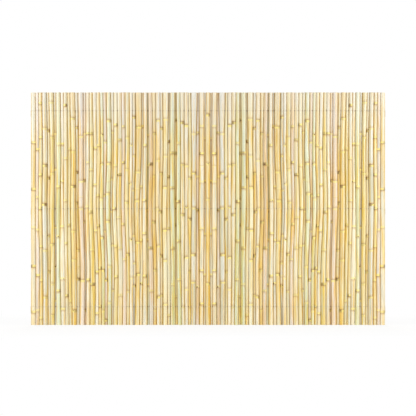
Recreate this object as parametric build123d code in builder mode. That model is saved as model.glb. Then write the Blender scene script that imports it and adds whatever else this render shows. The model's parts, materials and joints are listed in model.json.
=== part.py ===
"""Rolled bamboo fence panel: a close row of bamboo canes bound by three rows of paired wire.

Millimetres. X runs along the fence, Y through it with the front at minus Y, and Z up from the
cut feet of the canes. The fence is alike to the left and right of its middle cane, so each other
cane is made once and mirrored.
"""

import os
from math import cos, pi, sin, sqrt, tan

from build123d import *

# Canes
PANEL_HEIGHT = 1200.0
CANE_PAIRS = 49  # like canes to the left and right of the middle one
CANE_DIAMETER = 19.3  # across flats, on average
CANE_SPREAD = 0.22  # how far one cane's diameter is from the average, as a share of it
CANE_TAPER = 0.10  # from the middle of a cane to its ends, as a share of its radius
CANE_SIDES = 8  # flats that stand for the round of a cane
CANE_CLEARANCE = 0.2  # between canes, and between canes and wire

# Joints of the canes
INTERNODE_LENGTH = 435.0
INTERNODE_SPREAD = 0.16
JOINT_RISE = 0.8  # how far a joint stands out from the wood beyond it
JOINT_LENGTH = 6.0
JOINT_END_MARGIN = 25.0  # least distance from a joint to a cut end

# Binding wire
WIRE_DIAMETER = 1.2
WIRE_SIDES = 6
WIRE_INSET = 95.0  # outer rows, from the ends of the canes
TAIL_LENGTH = 30.0
TAIL_SPACING = 1.5  # between the two tails that meet at an end cane

# Steps that scatter sizes over the canes without a repeat
SIZE_STEP = 0.618
TAPER_STEP = 0.13
JOINT_STEP = 0.443
LENGTH_STEP = 0.414

CORNER = 1 / cos(pi / CANE_SIDES)  # corner radius of a cane for each millimetre to its flats


def scatter(index, step):
    """A value from -1 to 1 that differs from cane to cane."""
    return 2 * ((index * step + 0.5) % 1) - 1


def cane_taper(index):
    """Positive for a cane whose thick end is at its foot."""
    return CANE_TAPER * scatter(index, TAPER_STEP)


def cane_radius(index, level):
    """Radius to the flats at the foot (level 0) or at the head (level 1) of an ordinary cane."""
    middle = CANE_DIAMETER / 2 * (1 + CANE_SPREAD * scatter(index, SIZE_STEP))
    return middle * (1 + cane_taper(index) * (1 - 2 * level))


ordinary = range(CANE_PAIRS)
REACH = CORNER * max(cane_radius(index, level) for index in ordinary for level in (0, 1))


def row_of_canes(level):
    """Centre and radius of each cane at one level, from the middle cane out to the end cane.

    The canes lean by turns on the front and the back wire, so that neighbours nest and no gap
    can be seen through. The end cane fills the space between the wires.
    """
    row = []
    for index in range(CANE_PAIRS + 1):
        if index < CANE_PAIRS:
            radius = cane_radius(index, level)
            side = -1 if index % 2 == 0 else 1
        else:
            radius = REACH / CORNER
            side = 0
        x = 0.0
        y = side * (REACH - radius * CORNER)
        if index > 0:
            last_x, last_y, last_radius = row[-1]
            apart = (last_radius + radius + CANE_CLEARANCE) * CORNER
            x = last_x + apart - tan(pi / CANE_SIDES) * abs(y - last_y)
        row.append((x, y, radius))
    return row


foot = row_of_canes(0)
head = row_of_canes(1)
END_X = max(foot[-1][0], head[-1][0])


def cane_section(index, height):
    """Centre and radius of a cane at a height, with both edges of the panel upright."""
    share = height / PANEL_HEIGHT
    ends = []
    for row in (foot, head):
        x, y, radius = row[index]
        ends.append((x * END_X / row[-1][0], y, radius))
    return [low + share * (high - low) for low, high in zip(*ends)]


def cane_levels(index):
    """Heights of a cane's sections, each with how far the wood lies inside the joints there.

    The wood swells towards each joint and steps back just beyond it, away from the thick end.
    """
    shuffle = index * index  # keeps the joints of neighbours from lining up in rows
    length = INTERNODE_LENGTH * (1 + INTERNODE_SPREAD * scatter(shuffle, LENGTH_STEP))
    joint = length * (0.5 + 0.5 * scatter(shuffle, JOINT_STEP))
    levels = [(0.0, JOINT_RISE / 2)]
    while joint < PANEL_HEIGHT - JOINT_END_MARGIN:
        if joint > JOINT_END_MARGIN:
            if cane_taper(index) > 0:
                levels += [(joint, 0.0), (joint + JOINT_LENGTH, JOINT_RISE)]
            else:
                levels += [(joint - JOINT_LENGTH, JOINT_RISE), (joint, 0.0)]
        joint += length
    levels.append((PANEL_HEIGHT, JOINT_RISE / 2))
    return levels


def cane_corners(index, height, inset):
    """Corners of a cane's cross-section at a height."""
    x, y, radius = cane_section(index, height)
    reach = (radius - inset) * CORNER
    turns = [2 * pi * corner / CANE_SIDES for corner in range(CANE_SIDES)]
    return [(x + reach * cos(turn), y + reach * sin(turn), height) for turn in turns]


def cane_skin(index):
    """The flats of a cane: its two cut ends and a ring of flats from each section to the next."""
    rings = [cane_corners(index, height, inset) for height, inset in cane_levels(index)]
    flats = [rings[0], rings[-1]]
    for low, high in zip(rings, rings[1:]):
        for corner in range(CANE_SIDES):
            after = (corner + 1) % CANE_SIDES
            flats.append([low[corner], low[after], high[after], high[corner]])
    return Shell([Face(Wire.make_polygon(flat)) for flat in flats])


def strand_points(side, height):
    """Route of one strand: down a tail, round an end cane, along the fence and the same again."""
    wire_reach = REACH + (WIRE_DIAMETER / 2 + CANE_CLEARANCE) * CORNER
    shoulder = wire_reach / sqrt(2)
    tail_y = TAIL_SPACING / 2
    tail_x = END_X + wire_reach - tail_y * (wire_reach - shoulder) / shoulder
    half = [
        (END_X, side * wire_reach, height),
        (END_X + shoulder, side * shoulder, height),
        (tail_x, side * tail_y, height),
        (tail_x, side * tail_y, height - TAIL_LENGTH),
    ]
    other_half = [(-x, y, z) for x, y, z in reversed(half)]
    return other_half + half


os.makedirs("parts", exist_ok=True)

# The middle cane, the like pairs beside it and the two end canes
for index in range(CANE_PAIRS + 1):
    with BuildPart() as cane:
        add(Solid(cane_skin(index)))
        if index > 0:
            mirror(about=Plane.YZ)
    if index == 0:
        name = "middle_cane"
    elif index < CANE_PAIRS:
        name = f"cane_pair_{index:02d}"
    else:
        name = "end_canes"
    cane.part.label = name
    export_step(cane.part, f"parts/{name}.step")

# Front and back strand of each wire row
wire_rows = {
    "bottom": WIRE_INSET,
    "middle": PANEL_HEIGHT / 2,
    "top": PANEL_HEIGHT - WIRE_INSET,
}
for row_name, height in wire_rows.items():
    for side_name, side in (("front", -1), ("back", 1)):
        with BuildPart() as strand:
            with BuildLine():
                route = Polyline(*strand_points(side, height))
            with BuildSketch(Plane(route @ 0, z_dir=route % 0)):
                RegularPolygon(WIRE_DIAMETER / 2, WIRE_SIDES)
            sweep(transition=Transition.RIGHT)
        name = f"{row_name}_{side_name}_strand"
        strand.part.label = name
        export_step(strand.part, f"parts/{name}.step")
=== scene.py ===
import json
import math
import random
from collections import namedtuple

import bpy
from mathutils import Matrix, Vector


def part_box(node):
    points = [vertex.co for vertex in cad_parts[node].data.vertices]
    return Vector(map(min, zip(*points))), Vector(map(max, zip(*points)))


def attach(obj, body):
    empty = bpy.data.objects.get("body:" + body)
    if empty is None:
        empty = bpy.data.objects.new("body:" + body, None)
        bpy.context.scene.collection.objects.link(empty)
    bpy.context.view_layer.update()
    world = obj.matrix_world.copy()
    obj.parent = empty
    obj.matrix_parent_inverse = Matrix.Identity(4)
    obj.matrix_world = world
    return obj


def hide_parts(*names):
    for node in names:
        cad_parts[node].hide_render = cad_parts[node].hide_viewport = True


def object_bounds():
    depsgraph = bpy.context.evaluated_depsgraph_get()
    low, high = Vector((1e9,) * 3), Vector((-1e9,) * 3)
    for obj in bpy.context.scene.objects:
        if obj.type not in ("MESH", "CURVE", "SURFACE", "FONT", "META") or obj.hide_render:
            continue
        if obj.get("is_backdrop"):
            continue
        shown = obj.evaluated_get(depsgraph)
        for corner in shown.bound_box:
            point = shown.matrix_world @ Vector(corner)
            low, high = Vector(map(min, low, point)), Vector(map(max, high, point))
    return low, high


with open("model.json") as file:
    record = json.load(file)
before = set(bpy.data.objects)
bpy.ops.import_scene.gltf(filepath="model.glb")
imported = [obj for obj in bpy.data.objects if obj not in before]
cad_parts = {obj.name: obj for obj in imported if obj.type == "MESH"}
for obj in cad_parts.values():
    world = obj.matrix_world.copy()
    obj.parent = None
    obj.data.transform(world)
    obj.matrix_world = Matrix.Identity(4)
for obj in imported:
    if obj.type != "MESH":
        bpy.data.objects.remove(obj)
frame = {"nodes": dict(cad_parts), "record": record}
cad_low, cad_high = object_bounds()
HEIGHT = cad_high[2]

# Canes. Lengths are in metres and turns in radians, here and below.
SOLID_FLATS = 8  # flats round the solid of a cane
HEIGHT_DIGITS = 4  # corners of a solid whose heights agree so far belong to one section
SIDES = 20  # flats round a cane here
LEVELS = 5  # heights at which the round canes are packed side by side
WANDER = 0.14  # how far a cane's radius wanders from level to level, as a share of it
TAKEN_BACK = 0.65  # share of that which the next cane takes back, so that few lean together
SWELL_RANGE = (0.9, 1.2)  # of the factor by which all canes at a level grow to fill the row
SWELL_TRIES = 30  # halvings of that range till the row fits
PRESS = 0.0002  # how far neighbours press into each other
OVAL_LEAST = 0.97  # narrow width of the flattest cane, as a share of its full width
RING_SPACING = 0.04  # between the sections of a clear run
CUT_SPREAD = 0.0012  # how far a cut end may stop short of the fence's foot or head
WALL = 0.42  # wall of a cane as a share of its radius
END_DEPTH = 0.018  # of the hollow in a cut end
SHADE_TURNS = (0, 0, 0, math.pi)  # where the side with painted shade faces, with a painted highlight across from it: on most canes the same way
SHADE_SPREAD = (-0.9, 0.2)  # range of the turn added to that

# Joints of the canes
MINOR_JOINT_LENGTH = 0.30  # a clear run of cane longer than this may have a smaller joint in it
MINOR_JOINT_SHARE = 0.75  # of such runs that have one
MINOR_JOINT_PLACE = (0.36, 0.64)  # as a share of the run
JOINT_FORMS = (  # rise, place towards the tip and width of each form
    (0.0006, 0.0, 0.0011),  # scar of the sheath
    (0.0007, 0.0045, 0.0032),  # ridge
    (-0.0003, -0.006, 0.004),  # waist
)
JOINT_STEPS = (  # places of the sections about a joint
    -0.024, -0.014, -0.009, -0.006, -0.0035, -0.002, -0.001, -0.0004,
    0.0004, 0.001, 0.002, 0.0035, 0.0055, 0.008, 0.012, 0.018, 0.028,
)
JOINT_CLEARANCE = 0.035  # from a joint to the sections of a clear run
END_CLEARANCE = 0.002  # from a cut end to the sections about a joint
MARK_REACH = 0.04  # how far from a joint its marks end
MARK_STRENGTH = (0.5, 1.0)

# Scars of cut branches
SCAR_SHARE = 0.20  # joints with a scar
SCAR_SIZE = (0.0020, 0.0038)  # half of its width
SCAR_LENGTH = 1.3  # for each unit of width
SCAR_TURN = 1.2  # how far it may lie to the side of the cane's front or back
SCAR_PLACE = 0.003  # from the joint towards the tip
SCAR_SINK = 0.0004  # depth under the skin from which its rings rise
SCAR_MARGIN = 0.01  # least distance to the ends of the fence
SCAR_SIDES = 10
SCAR_RINGS = ((1.0, -0.0006), (0.8, 0.0004), (0.4, 0.0007))  # share of its size, and rise

# Binding wire
WIRE_RADIUS = 0.0006
WIRE_SIDES = 6
ARC_STEP = 0.22  # turn from point to point round a cane
END_TURN = math.radians(8)  # where a strand leaves an end cane, from the outermost point
KNOT_RADIUS = 0.0022  # of the twist between two canes
KNOT_TURNS = 1.5
KNOT_STEPS = 12  # points in each turn
TAIL_TURNS = 5
TAIL_STEPS = 10  # points in each turn
TAIL_BULGE = 0.5  # along the fence, as a share of the wire's radius

# Floor, light and camera
FLOOR_REACH = 40.0
ROOM_LIGHT = 0.5  # of the white room, which itself looks fully white
LENS = 150
SENSOR = 36
PICTURE_WIDTH = 416
FENCE_WIDTH = 355.3  # in the same units as the picture's width
CAMERA_LIFT = 0.0036


# Colours

def srgb(red, green, blue):
    """Linear colour of a colour given in screen values from 0 to 255."""
    def linear(value):
        value /= 255
        return value / 12.92 if value <= 0.04045 else ((value + 0.055) / 1.055) ** 2.4
    return (linear(red), linear(green), linear(blue), 1.0)


# Each tone of cane: its pale, middle and deep colour
TONES = {
    "ivory": (srgb(249, 244, 227), srgb(243, 233, 203), srgb(217, 194, 114)),
    "straw": (srgb(249, 245, 219), srgb(244, 235, 188), srgb(217, 191, 88)),
    "gold": (srgb(248, 237, 193), srgb(241, 218, 146), srgb(217, 173, 60)),
    "beige": (srgb(248, 243, 225), srgb(240, 227, 194), srgb(212, 183, 104)),
    "rose": (srgb(246, 236, 228), srgb(236, 220, 206), srgb(212, 179, 120)),
    "grey": (srgb(237, 239, 236), srgb(224, 224, 215), srgb(198, 188, 138)),
    "green": (srgb(239, 246, 226), srgb(226, 233, 194), srgb(198, 191, 98)),
}
COOL = srgb(205, 211, 202)
WARM = srgb(243, 200, 62)
# Painted shade on the sides of the canes that face their neighbours, in the grooves
GROOVE_SHADE = srgb(206, 156, 14)
PALE_HEAD = srgb(247, 240, 224)  # over the upper part of the canes, which is the paler one
LOW_TAN = srgb(255, 251, 236)  # over the lower part of the canes, which is the yellower one
JOINT_RING = srgb(250, 233, 138)
# Dark line at each joint, and painted shade beside the joint on the cane's shaded side
JOINT_LINE_AND_SHADE = srgb(112, 66, 14)
JOINT_STAIN = srgb(204, 168, 90)
SPECK = srgb(112, 82, 44)
CUT_WOOD = (srgb(236, 210, 158), srgb(196, 156, 100))
SCAR_WOOD = (srgb(74, 48, 26), srgb(132, 92, 50))
ZINC = (srgb(232, 222, 196), srgb(202, 190, 164))
KNOT_SHADE = srgb(124, 96, 54)  # brown painted shade on the wire where it lies twisted in the grooves
FLOOR = srgb(248, 248, 248)
WHITE = (1, 1, 1, 1)

# How strongly each colour lies on a cane: places on a scale from 0 to 1, each with a strength
BLOTCHES = ((0.32, 0), (0.68, 1))
# Painted highlight on the side of each cane across from its painted shade, and the painted shade
# itself
PAINTED_LIT_SIDE = ((0.1, 0.8), (0.5, 0))
PAINTED_SHADE_SIDE = ((0.5, 0), (0.9, 0.8))
COOL_PATCHES = ((0.34, 0.75), (0.5, 0))
WARM_PATCHES = ((0.5, 0), (0.66, 0.8))
PALE_STREAKS = ((0.36, 0.6), (0.5, 0))
DEEP_STREAKS = ((0.5, 0), (0.66, 0.5))
PALE_RUNS = ((0, 0.3), (0.4, 0))
DEEP_RUNS = ((0.6, 0), (1, 0.3))
LOW_PART = ((0.0, 0.2), (0.25, 0.7), (0.6, 0.7), (1.0, 0.0))
HEAD_PART = ((0.80, 0), (1.0, 0.4))
# painted shade in the grooves, in patches along the streaks
GROOVE_SHADE_EDGE = ((0.78, 0), (0.97, 1.0))
GROOVE_SHADE_STREAKS = ((0.40, 0.3), (0.6, 1.0))
SPECKS = ((0.74, 0), (0.80, 0.7))

# The same about a joint, which lies at the middle of the scale
STAIN_ZONE = ((0.34, 0), (0.44, 0.6), (0.485, 0.7), (0.50, 0))
RING_ZONE = ((0.505, 0), (0.525, 1), (0.60, 1), (0.68, 0))
SHADE_ZONE = ((0.44, 0), (0.49, 1), (0.62, 1), (0.70, 0))
SHADE_SIDE = ((0.45, 0), (0.85, 0.85))
LINE_ZONE = ((0.486, 0), (0.494, 0.85), (0.506, 0.85), (0.516, 0))
DARK_POWER = 2.5  # keeps the dark marks to the strongly marked joints

# Fibres of the canes: how grey and how rough they are at places on the same scale
FIBRE_GREYS = ((0.3, 0.80), (0.55, 1.0))
FIBRE_STRENGTH = 0.6
FIBRE_ROUGHNESS = ((0.3, 0.58), (0.7, 0.40))

# How strongly the floor glows white, by the distance in front of the fence or behind it
FLOOR_GLOW = ((0.1, 0.8), (0.9, 1.0))


# Materials

def add_node(tree, kind, values=None, **settings):
    node = tree.nodes.new(kind)
    for name, value in settings.items():
        setattr(node, name, value)
    for socket, value in (values or {}).items():
        node.inputs[socket].default_value = value
    return node


def new_material(name):
    material = bpy.data.materials.new(name)
    material.use_nodes = True
    return material, material.node_tree, material.node_tree.nodes["Principled BSDF"]


def attribute(tree, name):
    return add_node(tree, "ShaderNodeAttribute", attribute_name=name).outputs["Fac"]


def noise(tree, across, along, detail, roughness=0.55):
    """Noise stretched along the canes, in waves a metre across and along them."""
    coordinates = add_node(tree, "ShaderNodeTexCoord").outputs["Object"]
    mapping = add_node(tree, "ShaderNodeMapping", {"Scale": (across, across, along)})
    tree.links.new(coordinates, mapping.inputs["Vector"])
    values = {"Scale": 1.0, "Detail": detail, "Roughness": roughness}
    texture = add_node(tree, "ShaderNodeTexNoise", values)
    tree.links.new(mapping.outputs["Vector"], texture.inputs["Vector"])
    return texture.outputs["Fac"]


def ramp(tree, value, stops):
    """Grey value over a range, from a list of places and greys."""
    node = add_node(tree, "ShaderNodeValToRGB")
    elements = node.color_ramp.elements
    while len(elements) < len(stops):
        elements.new(0.5)
    for element, (place, grey) in zip(elements, stops):
        element.position = place
        element.color = (grey, grey, grey, 1)
    tree.links.new(value, node.inputs["Fac"])
    return node.outputs["Color"]


def give(tree, socket, value):
    """Sets an input to a plain value, or links it to the output of another node."""
    if isinstance(value, (int, float, tuple)):
        socket.default_value = value
    else:
        tree.links.new(value, socket)


def math_node(tree, operation, *values):
    node = add_node(tree, "ShaderNodeMath", operation=operation)
    for socket, value in zip(node.inputs, values):
        give(tree, socket, value)
    return node.outputs["Value"]


def colours_of(sockets):
    """The colour sockets of a mix node, which share their names with other kinds."""
    return [socket for socket in sockets if socket.type == "RGBA"]


def mix_colour(tree, factor, a, b, blend="MIX"):
    node = add_node(tree, "ShaderNodeMix", data_type="RGBA", blend_type=blend)
    first, second = colours_of(node.inputs)
    give(tree, node.inputs[0], factor)
    give(tree, first, a)
    give(tree, second, b)
    return colours_of(node.outputs)[0]


def coat(tree, under, colour, value, stops, share=None, blend="MIX"):
    """Lays a colour over another, as strongly as the stops say, or a share of that."""
    strength = ramp(tree, value, stops)
    if share is not None:
        strength = math_node(tree, "MULTIPLY", strength, share)
    return mix_colour(tree, strength, under, colour, blend)


def finish_surface(tree, shader, colour, value, rough, bump_strength, bump_size):
    """Gives a surface its colour, and takes its roughness and fine relief from one value."""
    tree.links.new(colour, shader.inputs["Base Color"])
    tree.links.new(ramp(tree, value, rough), shader.inputs["Roughness"])
    bump = add_node(tree, "ShaderNodeBump", {"Strength": bump_strength, "Distance": bump_size})
    tree.links.new(value, bump.inputs["Height"])
    tree.links.new(bump.outputs["Normal"], shader.inputs["Normal"])


def bamboo(name, pale, middle, deep):
    """Dry cane: blotches, fibres, painted shade on one side and a painted highlight on the other,
    painted shade in the grooves, stained joints with a dark line and painted shade, specks.
    """
    material, tree, shader = new_material(name)
    blotch = noise(tree, across=80, along=14, detail=4.0)
    fibre = noise(tree, across=1500, along=16, detail=2.0, roughness=0.7)
    hue = noise(tree, across=110, along=4.5, detail=2.0)
    streak = noise(tree, across=230, along=4.5, detail=2.0)
    speck = noise(tree, across=420, along=120, detail=1.0)
    # how far round each cane a point lies towards its side of painted shade, away from its painted
    # highlight
    side = attribute(tree, "side")
    internode = attribute(tree, "internode")
    height = attribute(tree, "height")
    joint = attribute(tree, "joint")
    mark = attribute(tree, "mark")

    wood = coat(tree, pale, middle, blotch, BLOTCHES)
    # painted highlight on one side of each cane and painted shade on the other
    wood = coat(tree, wood, pale, side, PAINTED_LIT_SIDE)
    wood = coat(tree, wood, deep, side, PAINTED_SHADE_SIDE)
    wood = coat(tree, wood, COOL, hue, COOL_PATCHES)
    wood = coat(tree, wood, WARM, hue, WARM_PATCHES)
    wood = coat(tree, wood, pale, streak, PALE_STREAKS)
    wood = coat(tree, wood, deep, streak, DEEP_STREAKS)
    wood = coat(tree, wood, pale, internode, PALE_RUNS)
    wood = coat(tree, wood, deep, internode, DEEP_RUNS)
    wood = coat(tree, wood, LOW_TAN, height, LOW_PART, blend="MULTIPLY")
    wood = coat(tree, wood, PALE_HEAD, height, HEAD_PART)
    # Painted shade in the grooves between canes, stronger in some streaks than others
    groove_shade_patches = ramp(tree, streak, GROOVE_SHADE_STREAKS)
    wood = coat(tree, wood, GROOVE_SHADE, attribute(tree, "groove_shade_mask"), GROOVE_SHADE_EDGE, groove_shade_patches)
    wood = mix_colour(tree, FIBRE_STRENGTH, wood, ramp(tree, fibre, FIBRE_GREYS), "MULTIPLY")

    dark = math_node(tree, "POWER", mark, DARK_POWER)
    # painted shade beside each joint, on the side of painted shade; below it the joint's own dark
    # line
    painted_joint_shade = math_node(tree, "MULTIPLY", ramp(tree, side, SHADE_SIDE), dark)
    wood = coat(tree, wood, JOINT_STAIN, joint, STAIN_ZONE, mark)
    wood = coat(tree, wood, JOINT_RING, joint, RING_ZONE, mark)
    wood = coat(tree, wood, JOINT_LINE_AND_SHADE, joint, SHADE_ZONE, painted_joint_shade)
    wood = coat(tree, wood, JOINT_LINE_AND_SHADE, joint, LINE_ZONE, dark)
    wood = coat(tree, wood, SPECK, speck, SPECKS)
    finish_surface(
        tree, shader, wood, fibre, FIBRE_ROUGHNESS, bump_strength=0.35, bump_size=0.0004
    )
    return material


def mottled(name, colours, waves, places, rough, metallic=0.0, bump_size=0.0003, painted_shade=None):
    """A material whose colour and roughness wander between two values, with painted shade in
    places.
    """
    material, tree, shader = new_material(name)
    value = noise(tree, across=waves, along=waves, detail=4.0)
    first, second = colours
    shade = coat(tree, first, second, value, ((places[0], 0), (places[1], 1)))
    # painted shade, as strong as the named attribute says
    if painted_shade:
        shade = mix_colour(tree, attribute(tree, painted_shade[0]), shade, painted_shade[1])
    shader.inputs["Metallic"].default_value = metallic
    rough_stops = ((0.3, rough[0]), (0.7, rough[1]))
    finish_surface(
        tree, shader, shade, value, rough_stops, bump_strength=0.4, bump_size=bump_size
    )
    return material


cane_materials = {tone: bamboo(f"bamboo_{tone}", *colours) for tone, colours in TONES.items()}
cut_wood = mottled("cut_wood", CUT_WOOD, waves=900, places=(0.35, 0.65), rough=(0.7, 0.85))
scar_wood = mottled("scar_wood", SCAR_WOOD, waves=700, places=(0.3, 0.7), rough=(0.65, 0.8))
zinc = mottled(
    "galvanised_zinc", ZINC, waves=900, places=(0.35, 0.65), rough=(0.35, 0.6),
    metallic=0.7, bump_size=0.0001, painted_shade=("knot", KNOT_SHADE),
)


# Canes

Ring = namedtuple("Ring", "height x y radius")
CANE_VALUES = ("joint", "mark", "internode", "side", "groove_shade_mask", "height")
SKIN, CUT, SCAR = 0, 1, 2  # places of a cane's materials


def rings_of(vertices):
    """The cross-sections of a cane's solid, from its corners."""
    levels = {}
    for point in vertices:
        levels.setdefault(round(point.z, HEIGHT_DIGITS), []).append(point)
    rings = []
    for height in sorted(levels):
        across = [point.x for point in levels[height]]
        through = [point.y for point in levels[height]]
        x = (min(across) + max(across)) / 2
        y = (min(through) + max(through)) / 2
        radius = (max(across) - min(across)) / 2 * math.cos(math.pi / SOLID_FLATS)
        rings.append(Ring(height, x, y, radius))
    return rings


def joint_profile(distance):
    """How far a cane stands out near a joint, at a distance towards its tip."""
    return sum(
        rise * math.exp(-(((distance - place) / width) ** 2))
        for rise, place, width in JOINT_FORMS
    )


class Cane:
    """One cane: its solid's sections, its joints, and its line and radius up the fence."""

    def __init__(self, rings):
        # Between the cut ends each joint has two sections, a wide one and a narrow one
        steps = list(zip(rings[1:-1:2], rings[2:-1:2]))
        widest = [max(step, key=lambda ring: ring.radius) for step in steps]
        self.up = all(low.radius > high.radius for low, high in steps)
        self.joints = [ring.height for ring in widest]
        self.envelope = [rings[0]] + widest + [rings[-1]]
        self.line = []

    def solid(self, height):
        """Centre and radius of the solid at a height, taken over its joints."""
        for low, high in zip(self.envelope, self.envelope[1:]):
            if height <= high.height:
                break
        share = (height - low.height) / (high.height - low.height)
        return [a + share * (b - a) for a, b in zip(low[1:], high[1:])]

    def section(self, height):
        """Centre and radius at a height, on a smooth curve through the levels."""
        place = height / HEIGHT * (LEVELS - 1)
        level = min(int(place), LEVELS - 2)
        t = place - level
        before, low, high, after = [
            self.line[min(max(level + step, 0), LEVELS - 1)] for step in (-1, 0, 1, 2)
        ]
        return [
            b + t / 2 * (c - a + t * (2 * a - 5 * b + 4 * c - d + t * (3 * b - 3 * c + d - a)))
            for a, b, c, d in zip(before, low, high, after)
        ]

    def past(self, joint, height):
        """How far a height lies beyond a joint, towards the tip of the cane."""
        return height - joint if self.up else joint - height

    def beyond(self, joint, distance):
        """The height that lies a distance beyond a joint, towards the tip of the cane."""
        return joint + distance if self.up else joint - distance

    def rise(self, height):
        """How far the joints make the cane stand out at a height."""
        return sum(joint_profile(self.past(joint, height)) for joint in self.joints)


def pack_level(half, height, chance):
    """Closes the canes up at a height, from the middle one to the end one, till each touches."""
    solids = [cane.solid(height) for cane in half]
    radii, last = [], 0.0
    for _, _, radius in solids:
        wander = chance.uniform(-WANDER, WANDER)
        radii.append(radius * (1 + wander - TAKEN_BACK * last))
        last = wander
    radii[-1] = solids[-1][2]

    def places(swell):
        row = [0.0]
        for number in range(1, len(half)):
            apart = swell * (radii[number - 1] + radii[number]) - PRESS
            lean = solids[number][1] - solids[number - 1][1]
            row.append(row[-1] + math.sqrt(apart ** 2 - lean ** 2))
        return row

    low, high = SWELL_RANGE
    for _ in range(SWELL_TRIES):
        swell = (low + high) / 2
        if places(swell)[-1] < solids[-1][0]:
            low = swell
        else:
            high = swell
    for cane, x, solid, radius in zip(half, places(swell), solids, radii):
        cane.line.append((x, solid[1], swell * radius))


def add_minor_joints(cane, chance):
    """Smaller joints in the long clear runs of a cane."""
    bounds = [0.0] + cane.joints + [HEIGHT]
    for low, high in zip(bounds, bounds[1:]):
        if high - low > MINOR_JOINT_LENGTH and chance.random() < MINOR_JOINT_SHARE:
            cane.joints.append(low + (high - low) * chance.uniform(*MINOR_JOINT_PLACE))
    cane.joints.sort()


def cane_heights(cane, bottom, top):
    """Heights of a cane's sections: close together about its joints, and wide apart between."""
    heights = {bottom, top}
    for joint in cane.joints:
        for step in JOINT_STEPS:
            height = cane.beyond(joint, step)
            if bottom + END_CLEARANCE < height < top - END_CLEARANCE:
                heights.add(height)
    fill = bottom
    while fill < top:
        if all(abs(fill - joint) > JOINT_CLEARANCE for joint in cane.joints):
            heights.add(fill)
        fill += RING_SPACING
    return sorted(heights)


def build_cane(cane, chance, mesh_data, at_edge):
    """Adds one round, hollow-ended cane to the lists of vertices, faces and values."""
    vertices, faces, slots, values = mesh_data
    bottom = chance.uniform(0, CUT_SPREAD)
    top = HEIGHT - chance.uniform(0, CUT_SPREAD)
    # The painted shade faces the middle of the fence on each half, and outwards on the end canes
    shade_turn = chance.choice(SHADE_TURNS) + chance.uniform(*SHADE_SPREAD)
    if at_edge:
        shade_turn = math.pi
    if cane.line[0][0] > 0:
        shade_turn = math.pi - shade_turn
    tones = [chance.random() for _ in range(len(cane.joints) + 1)]
    marks = [chance.uniform(*MARK_STRENGTH) for _ in cane.joints]
    oval = chance.uniform(OVAL_LEAST, 1.0)
    flat_turn = chance.uniform(0, 2 * math.pi)

    def ring(height, scale, outside):
        start = len(vertices)
        x, y, around = cane.section(height)
        nearest, number, strength = HEIGHT, 0, 0.0
        for joint, mark in zip(cane.joints, marks):
            away = cane.past(joint, height)
            number += height > joint
            if abs(away) < abs(nearest):
                nearest = away
                strength = mark if abs(away) < MARK_REACH else 0.0
        radius = around + (cane.rise(height) if outside else 0)
        for side in range(SIDES):
            turn = 2 * math.pi * side / SIDES
            shape = 1 - (1 - oval) * math.cos(turn - flat_turn) ** 2
            reach = radius * scale * shape
            vertices.append((x + reach * math.cos(turn), y + reach * math.sin(turn), height))
            values["joint"].append(min(max(nearest / MARK_REACH, -1), 1) * 0.5 + 0.5)
            values["internode"].append(tones[number])
            values["mark"].append(strength)
            values["height"].append(height / HEIGHT)
            # painted shade in the grooves: how far a point faces a neighbouring cane
            values["groove_shade_mask"].append(abs(math.cos(turn)))
            # side of painted shade and painted highlight
            values["side"].append(0.5 + 0.5 * math.cos(turn - shade_turn))
        return start

    def bridge(first, second, slot):
        for side in range(SIDES):
            after = (side + 1) % SIDES
            faces.append((first + side, first + after, second + after, second + side))
            slots.append(slot)

    starts = [ring(height, 1.0, True) for height in cane_heights(cane, bottom, top)]
    for low, high in zip(starts, starts[1:]):
        bridge(low, high, SKIN)
    for height, inward in ((bottom, 1), (top, -1)):
        rim = ring(height, 1.0, False)
        lip = ring(height, 1 - WALL, False)
        hollow = ring(height + inward * END_DEPTH, 1 - WALL, False)
        floor = [hollow + side for side in range(SIDES)]
        if inward > 0:
            bridge(lip, rim, CUT)
            bridge(hollow, lip, CUT)
            faces.append(tuple(reversed(floor)))
        else:
            bridge(rim, lip, CUT)
            bridge(lip, hollow, CUT)
            faces.append(tuple(floor))
        slots.append(CUT)
    add_scars(cane, chance, mesh_data)


def add_scars(cane, chance, mesh_data):
    """Low dark mounds where branches were cut off beside some joints."""
    vertices, faces, slots, values = mesh_data
    for joint in cane.joints:
        if chance.random() > SCAR_SHARE:
            continue
        turn = chance.choice((-1, 1)) * math.pi / 2 + chance.uniform(-SCAR_TURN, SCAR_TURN)
        size = chance.uniform(*SCAR_SIZE)
        height = cane.beyond(joint, SCAR_PLACE)
        if not SCAR_MARGIN < height < HEIGHT - SCAR_MARGIN:
            continue
        x, y, reach = cane.section(height)
        out = Vector((math.cos(turn), math.sin(turn), 0))
        across = Vector((-math.sin(turn), math.cos(turn), 0))
        middle = Vector((x, y, height)) + out * (reach + cane.rise(height) - SCAR_SINK)
        first = len(vertices)
        for scale, lift in SCAR_RINGS:
            for step in range(SCAR_SIDES):
                angle = 2 * math.pi * step / SCAR_SIDES
                point = middle + out * lift
                point += across * (size * scale * math.cos(angle))
                point += Vector((0, 0, SCAR_LENGTH * size * scale * math.sin(angle)))
                vertices.append(tuple(point))
                for numbers in values.values():
                    numbers.append(0.5)  # only the skin of the cane uses these values
        last = first + (len(SCAR_RINGS) - 1) * SCAR_SIDES
        for low in range(first, last, SCAR_SIDES):
            high = low + SCAR_SIDES
            for step in range(SCAR_SIDES):
                after = (step + 1) % SCAR_SIDES
                faces.append((low + step, low + after, high + after, high + step))
                slots.append(SCAR)
        faces.append(tuple(last + step for step in range(SCAR_SIDES)))
        faces.append(tuple(first + step for step in reversed(range(SCAR_SIDES))))
        slots += [SCAR, SCAR]


def finish_piece(name, node, mesh, materials):
    for material in materials:
        mesh.materials.append(material)
    piece = bpy.data.objects.new(name, mesh)
    bpy.context.scene.collection.objects.link(piece)
    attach(piece, "root")
    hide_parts(node)


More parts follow.
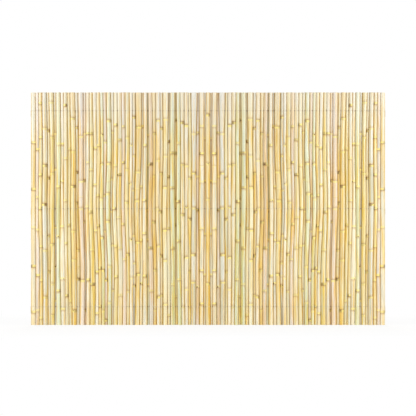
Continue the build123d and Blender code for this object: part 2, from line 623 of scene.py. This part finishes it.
slot_of = {entry["node"]: entry["material_slot"] for entry in frame["record"]["subparts"]}
cane_nodes = [name for name in frame["nodes"] if "cane" in name]

canes = {}
for node in cane_nodes:
    points = [vertex.co for vertex in frame["nodes"][node].data.vertices]
    if node == "middle_cane":
        canes[node] = [Cane(rings_of(points))]
    else:
        left = [point for point in points if point.x < 0]
        right = [point for point in points if point.x > 0]
        canes[node] = [Cane(rings_of(left)), Cane(rings_of(right))]

# The right half is packed level by level, and the left half is its mirror image
half = sorted((group[-1] for group in canes.values()), key=lambda cane: cane.solid(0)[0])
chance = random.Random("row")
for level in range(LEVELS):
    pack_level(half, HEIGHT * level / (LEVELS - 1), chance)
for group in canes.values():
    group[0].line = [(-x, y, radius) for x, y, radius in group[-1].line]
row = sorted((cane for group in canes.values() for cane in group), key=lambda c: c.line[0][0])

for node in cane_nodes:
    tone = slot_of[node].removeprefix("cane_")
    mesh_data = ([], [], [], {name: [] for name in CANE_VALUES})
    for cane in canes[node]:
        chance = random.Random(node)
        add_minor_joints(cane, chance)
        build_cane(cane, chance, mesh_data, node == "end_canes")
    vertices, faces, slots, values = mesh_data
    mesh = bpy.data.meshes.new(node + "_culm")
    mesh.from_pydata(vertices, [], faces)
    for name, numbers in values.items():
        mesh.attributes.new(name, "FLOAT", "POINT").data.foreach_set("value", numbers)
    mesh.polygons.foreach_set("use_smooth", [slot != CUT for slot in slots])
    materials = [cane_materials[tone], cut_wood, scar_wood]
    finish_piece(node + "_culm", node, mesh, materials)
    mesh.polygons.foreach_set("material_index", slots)


# Binding wire

def arc(centre, reach, start, end, height):
    """Points round a cane at a height, from one direction to another."""
    steps = max(2, round(abs(end - start) / ARC_STEP))
    turns = [start + (end - start) * step / steps for step in range(steps + 1)]
    return [
        (centre[0] + reach * math.cos(turn), centre[1] + reach * math.sin(turn), height)
        for turn in turns
    ]


def knot_between(first, second):
    """Centre of the twist that lies in the groove between two canes and touches both."""
    (x1, y1, r1), (x2, y2, r2) = first, second
    a, b = r1 + KNOT_RADIUS, r2 + KNOT_RADIUS
    apart = math.hypot(x2 - x1, y2 - y1)
    along = (apart ** 2 + a ** 2 - b ** 2) / (2 * apart)
    out = math.sqrt(a ** 2 - along ** 2)
    ux, uy = (x2 - x1) / apart, (y2 - y1) / apart
    return (x1 + along * ux - out * uy, y1 + along * uy + out * ux)


def knot_points(knot, height):
    """Turns of the strand about the twist, seen end on from the front of the fence."""
    reach = KNOT_RADIUS - WIRE_RADIUS
    steps = round(KNOT_TURNS * KNOT_STEPS)
    points = []
    for step in range(1, steps):
        turn = math.pi - 2 * math.pi * KNOT_TURNS * step / steps
        depth = WIRE_RADIUS * KNOT_TURNS * (1 - 2 * step / steps)
        x = knot[0] + reach * math.cos(turn)
        z = height + reach * math.sin(turn)
        points.append((x, knot[1] + depth, z))
    return points


def tail_points(side, end_x, height, length):
    """The tail of a strand, which winds down about the tail of the strand it meets."""
    steps = TAIL_TURNS * TAIL_STEPS
    points = []
    for step in range(steps + 1):
        turn = math.pi / 2 + 2 * math.pi * step / TAIL_STEPS
        drop = WIRE_RADIUS + length * step / steps
        bulge = TAIL_BULGE * WIRE_RADIUS * math.cos(turn) * side
        points.append((end_x + bulge, WIRE_RADIUS * math.sin(turn), height - drop))
    return points


def direction(centre, point):
    return math.atan2(point[1] - centre[1], point[0] - centre[0])


def strand_route(side, height, tail, chance):
    """Points of a strand: a tail, over each cane with a twist in each groove, and a tail.

    With them goes how strongly painted shade darkens the wire at each point, which differs from
    twist to twist.
    """
    circles = []
    for cane in row:
        x, y, radius = cane.section(height)
        circles.append((x, side * y, radius + cane.rise(height)))
    knots = [knot_between(first, second) for first, second in zip(circles, circles[1:])]
    points, knot_shade = [], []
    for number, circle in enumerate(circles):
        start, end = math.pi - END_TURN, END_TURN
        if number > 0:
            start = direction(circle, knots[number - 1])
        if number < len(knots):
            end = direction(circle, knots[number])
        points += arc(circle, circle[2] + WIRE_RADIUS, start, end, height)
        knot_shade += [0.0] * (len(points) - len(knot_shade))
        if number < len(knots):
            points += knot_points(knots[number], height)
            # painted shade on each twist in a groove, of its own strength
            knot_shade += [chance.uniform(0, 1)] * (len(points) - len(knot_shade))
    end_x = circles[-1][0] + circles[-1][2] + WIRE_RADIUS
    twist = tail_points(side, end_x, height, tail)
    other_twist = [(-x, y, z) for x, y, z in reversed(twist)]
    tail_values = [0.0] * len(twist)
    route = [(x, side * y, z) for x, y, z in other_twist + points + twist]
    return route, tail_values + knot_shade + tail_values


def strand_mesh(name, points, knot_shade):
    """A tube of the wire's radius along a line of points."""
    vertices, faces = [], []
    points = [Vector(point) for point in points]
    last = len(points) - 1
    across = Vector((1, 0, 0))
    for number, point in enumerate(points):
        along = (points[min(number + 1, last)] - points[max(number - 1, 0)]).normalized()
        across = (across - along * across.dot(along)).normalized()
        other = along.cross(across)
        for step in range(WIRE_SIDES):
            angle = 2 * math.pi * step / WIRE_SIDES
            offset = (across * math.cos(angle) + other * math.sin(angle)) * WIRE_RADIUS
            vertices.append(tuple(point + offset))
    for number in range(last):
        low, high = number * WIRE_SIDES, (number + 1) * WIRE_SIDES
        for step in range(WIRE_SIDES):
            after = (step + 1) % WIRE_SIDES
            faces.append((low + step, low + after, high + after, high + step))
    faces.append(tuple(reversed(range(WIRE_SIDES))))
    faces.append(tuple(last * WIRE_SIDES + step for step in range(WIRE_SIDES)))
    mesh = bpy.data.meshes.new(name)
    mesh.from_pydata(vertices, [], faces)
    mesh.polygons.foreach_set("use_smooth", [True] * len(faces))
    values = [value for value in knot_shade for _ in range(WIRE_SIDES)]
    # how strongly painted shade darkens each point of the wire
    mesh.attributes.new("knot", "FLOAT", "POINT").data.foreach_set("value", values)
    return mesh


for node in [name for name in frame["nodes"] if name.endswith("_strand")]:
    low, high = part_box(node)
    side = -1 if "front" in node else 1
    height = high[2] - WIRE_RADIUS
    tail = high[2] - low[2] - 2 * WIRE_RADIUS
    mesh = strand_mesh(node + "_wire", *strand_route(side, height, tail, random.Random(node)))
    finish_piece(node + "_wire", node, mesh, [zinc])


# Floor, light and camera

def studio_floor():
    """A pale floor that looks all but white, a little less so close to the fence."""
    material, tree, shader = new_material("studio_floor")
    shader.inputs["Base Color"].default_value = FLOOR
    shader.inputs["Roughness"].default_value = 0.9
    glow = add_node(tree, "ShaderNodeEmission", {"Color": WHITE, "Strength": 1.0})
    path = add_node(tree, "ShaderNodeLightPath")
    place = add_node(tree, "ShaderNodeSeparateXYZ")
    tree.links.new(add_node(tree, "ShaderNodeNewGeometry").outputs["Position"], place.inputs[0])
    away = math_node(tree, "ABSOLUTE", place.outputs["Y"])
    fade = ramp(tree, away, FLOOR_GLOW)
    seen = math_node(tree, "MULTIPLY", path.outputs["Is Camera Ray"], fade)
    blend = add_node(tree, "ShaderNodeMixShader")
    tree.links.new(seen, blend.inputs["Fac"])
    tree.links.new(shader.outputs["BSDF"], blend.inputs[1])
    tree.links.new(glow.outputs["Emission"], blend.inputs[2])
    tree.links.new(blend.outputs["Shader"], tree.nodes["Material Output"].inputs["Surface"])
    mesh = bpy.data.meshes.new("floor")
    corners = ((-1, -1), (1, -1), (1, 1), (-1, 1))
    points = [(x * FLOOR_REACH, y * FLOOR_REACH, 0) for x, y in corners]
    mesh.from_pydata(points, [], [(0, 1, 2, 3)])
    mesh.materials.append(material)
    floor = bpy.data.objects.new("floor", mesh)
    bpy.context.scene.collection.objects.link(floor)
    floor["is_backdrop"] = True


def white_room():
    """Even light from all round, with a room that looks fully white."""
    world = bpy.data.worlds.new("studio")
    world.use_nodes = True
    bpy.context.scene.world = world
    tree = world.node_tree
    back = tree.nodes["Background"]
    back.inputs["Color"].default_value = WHITE
    path = add_node(tree, "ShaderNodeLightPath")
    seen = math_node(tree, "MAXIMUM", path.outputs["Is Camera Ray"], path.outputs["Is Glossy Ray"])
    strength = math_node(tree, "MULTIPLY_ADD", seen, 1 - ROOM_LIGHT, ROOM_LIGHT)
    tree.links.new(strength, back.inputs["Strength"])


def area_light(name, place, target, size, power, spread=math.pi):
    light = bpy.data.lights.new(name, "AREA")
    light.shape = "SQUARE"
    light.size = size
    light.spread = spread
    light.energy = power
    holder = bpy.data.objects.new(name, light)
    holder.location = place
    holder.rotation_euler = (Vector(target) - Vector(place)).to_track_quat("-Z", "Y").to_euler()
    bpy.context.scene.collection.objects.link(holder)


studio_floor()
white_room()
for side, name in ((-1, "left_light"), (1, "right_light")):
    area_light(
        name, place=(side * 2.7, -1.8, 1.4), target=(side * 0.5, 0, 0.6), size=0.9, power=13.2,
        spread=math.radians(90),
    )
area_light("back_light", place=(0, 3.2, 2.6), target=(0, 0, 0.6), size=2.0, power=52)

camera_data = bpy.data.cameras.new("camera")
camera_data.lens = LENS
camera_data.sensor_width = SENSOR
camera = bpy.data.objects.new("camera", camera_data)
frame_width = (cad_high[0] - cad_low[0]) * PICTURE_WIDTH / FENCE_WIDTH
camera.location = (0, cad_low[1] - frame_width * LENS / SENSOR, HEIGHT / 2 + CAMERA_LIFT)
camera.rotation_euler = (math.pi / 2, 0, 0)
bpy.context.scene.collection.objects.link(camera)
bpy.context.scene.camera = camera
bpy.context.scene.view_settings.view_transform = "Standard"

low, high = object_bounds()
